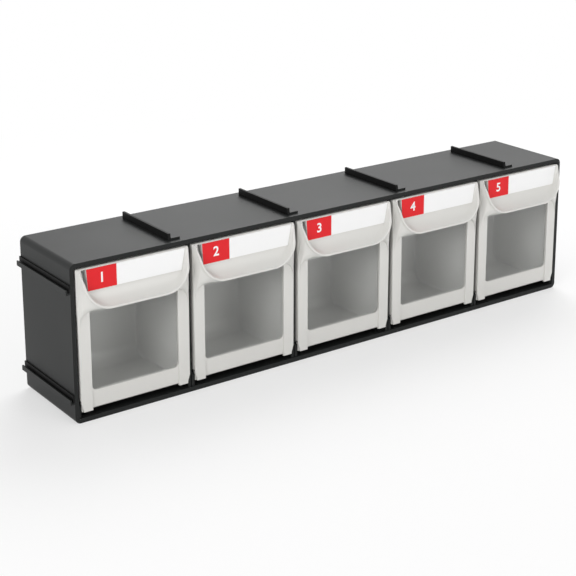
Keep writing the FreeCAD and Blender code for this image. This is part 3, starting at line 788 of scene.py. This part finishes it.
# ---------------------------------------------------------------------------
# The labels: a white card pushed into each handle, with a red index sticker at
# its left end and a plain white number printed on it.
# ---------------------------------------------------------------------------
CARD_WHITE = (0.93, 0.93, 0.93, 1)
INDEX_RED = (0.76, 0.019, 0.025, 1)
PAPER = dict(grain_depth=0.01 * MM, flow_share=0.01, gloss_share=0.1, grain_scale=5200.0)
NUMBER_SIZE = 13.0
NUMBER_WEIGHT = 0.25
NUMBER_THICK = 0.03
RED_MIDDLE = -32.7
RED_HEIGHT = 133.5
STICKER_FACE = FACE + 1.9
label_card = moulded_plastic("label_card", CARD_WHITE, roughness=0.6, **PAPER)
index_red = moulded_plastic("index_red", INDEX_RED, roughness=0.5, sheen=0.2, **PAPER)


def number_mesh(number, centre):
    """A plain number as a thin solid on the face of its red sticker."""
    text = bpy.data.curves.new(f"number_text_{number}", "FONT")
    text.body = str(number)
    text.size = NUMBER_SIZE * MM
    text.offset = NUMBER_WEIGHT * MM
    text.extrude = NUMBER_THICK * MM
    text.align_x, text.align_y = "CENTER", "CENTER"
    writing = add_object(f"number_text_{number}", text)
    mesh = finished_mesh(writing)
    bpy.data.objects.remove(writing)
    place = Vector((centre + RED_MIDDLE, -(STICKER_FACE + NUMBER_THICK), RED_HEIGHT)) * MM
    mesh.transform(Matrix.Translation(place) @ Matrix.Rotation(math.pi / 2, 4, "X"))
    return mesh


for number in range(1, BINS + 1):
    use_material(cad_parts[f"label_card_{number}"], label_card)
    use_material(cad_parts[f"index_sticker_{number}"], index_red)
    mesh = number_mesh(number, bay_centre(number))
    mesh.materials.clear()
    mesh.materials.append(label_card)
    printed = add_object(f"index_number_{number}", mesh)
    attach(printed, f"bin_{number}")


# ---------------------------------------------------------------------------
# The studio: a white floor that keeps the shadow near the object and is plain
# white further out, under three soft lights and a pale surround.
# ---------------------------------------------------------------------------
FLOOR_HALF = 6
FLOOR_NEAR, FLOOR_FAR = 0.42, 0.95
FLOOR_WHITE = 0.5
WORLD_FRONT, WORLD_BACK = 0.42, 0.62
WORLD_TURN = 0.7
SOFTBOXES = {
    "key_softbox": dict(place=(-1.85, -0.95, 0.95), aim=(0, 0, 0.06), size=(0.8, 0.8), watts=15.5),
    "fill_softbox": dict(place=(0.5, -1.9, 0.75), aim=(0, 0, 0.06), size=(0.9, 0.9), watts=9),
    "top_softbox": dict(place=(0.9, 0.9, 1.4), aim=(0.1, 0, 0), size=(1.5, 1.2), watts=21),
}
LENS, SENSOR, SHIFT = 89.510, 36, -0.25
AZIMUTH, ELEVATION, ROLL = (math.radians(turn) for turn in (-35.5864, 14.5871, -0.1382))
PLACE = (-0.82643, -1.10959, 0.56173)


def seen_rays(tree):
    """1 for the rays that show a surface: from the camera, off gloss or through glass."""
    path = tree.nodes.new("ShaderNodeLightPath").outputs
    seen = math_node(tree, "MAXIMUM", path["Is Camera Ray"], path["Is Transmission Ray"])
    return math_node(tree, "MAXIMUM", seen, path["Is Glossy Ray"])


def add_softbox(name, place, aim, size, watts):
    """A rectangular area light at a place, turned to face its aim."""
    lamp = bpy.data.lights.new(name, "AREA")
    lamp.shape = "RECTANGLE"
    lamp.size, lamp.size_y = size
    lamp.energy = watts
    holder = add_object(name, lamp)
    holder.location = place
    holder.rotation_euler = (Vector(aim) - Vector(place)).to_track_quat("-Z", "Y").to_euler()


floor_mesh = bpy.data.meshes.new("floor")
corners = [(x * FLOOR_HALF, y * FLOOR_HALF, 0) for x, y in ((-1, -1), (1, -1), (1, 1), (-1, 1))]
floor_mesh.from_pydata(corners, [], [(0, 1, 2, 3)])
floor = add_object("floor", floor_mesh)

floor_white, floor_tree, floor_shader = new_material("floor_white")
set_sockets(
    floor_tree, floor_shader,
    Base_Color=(0.92, 0.92, 0.92, 1), Roughness=0.9, Specular_IOR_Level=0.0,
)
away = floor_tree.nodes.new("ShaderNodeVectorMath")
away.operation = "LENGTH"
floor_place = floor_tree.nodes.new("ShaderNodeTexCoord").outputs["Object"]
floor_tree.links.new(floor_place, away.inputs[0])
fade = add_node(
    floor_tree, "ShaderNodeMapRange", Value=away.outputs["Value"],
    From_Min=FLOOR_NEAR, From_Max=FLOOR_FAR, To_Min=FLOOR_WHITE,
)
fade.interpolation_type = "SMOOTHSTEP"
share = math_node(floor_tree, "MULTIPLY", fade.outputs["Result"], seen_rays(floor_tree))
blend = add_node(floor_tree, "ShaderNodeMixShader", Fac=share)
plain_white = floor_tree.nodes.new("ShaderNodeEmission")
floor_tree.links.new(floor_shader.outputs["BSDF"], blend.inputs[1])
floor_tree.links.new(plain_white.outputs["Emission"], blend.inputs[2])
set_sockets(floor_tree, floor_tree.nodes["Material Output"], Surface=blend.outputs["Shader"])
floor_mesh.materials.append(floor_white)

world = bpy.data.worlds.new("studio")
bpy.context.scene.world = world
world.use_nodes = True
world_tree = world.node_tree
way = add_node(
    world_tree, "ShaderNodeSeparateXYZ",
    Vector=world_tree.nodes.new("ShaderNodeTexCoord").outputs["Generated"],
)
lit = add_node(
    world_tree, "ShaderNodeMapRange", Value=way.outputs["Y"],
    From_Min=-WORLD_TURN, From_Max=WORLD_TURN, To_Min=WORLD_FRONT, To_Max=WORLD_BACK,
)
strength = math_node(world_tree, "MAXIMUM", lit.outputs["Result"], seen_rays(world_tree))
set_sockets(world_tree, world_tree.nodes["Background"], Color=(1, 1, 1, 1), Strength=strength)

for name, values in SOFTBOXES.items():
    add_softbox(name, **values)

camera_data = bpy.data.cameras.new("camera")
camera_data.lens = LENS
camera_data.sensor_width = SENSOR
camera_data.shift_y = SHIFT
camera = add_object("camera", camera_data)
level = math.cos(ELEVATION)
back = Vector((math.sin(AZIMUTH) * level, -math.cos(AZIMUTH) * level, math.sin(ELEVATION)))
right = Vector((math.cos(AZIMUTH), math.sin(AZIMUTH), 0))
up = back.cross(right)
right_turned = right * math.cos(ROLL) + up * math.sin(ROLL)
up_turned = up * math.cos(ROLL) - right * math.sin(ROLL)
turned = Matrix((right_turned, up_turned, back)).transposed().to_4x4()
camera.matrix_world = Matrix.Translation(PLACE) @ turned
bpy.context.scene.camera = camera
bpy.context.scene.view_settings.view_transform = "Standard"
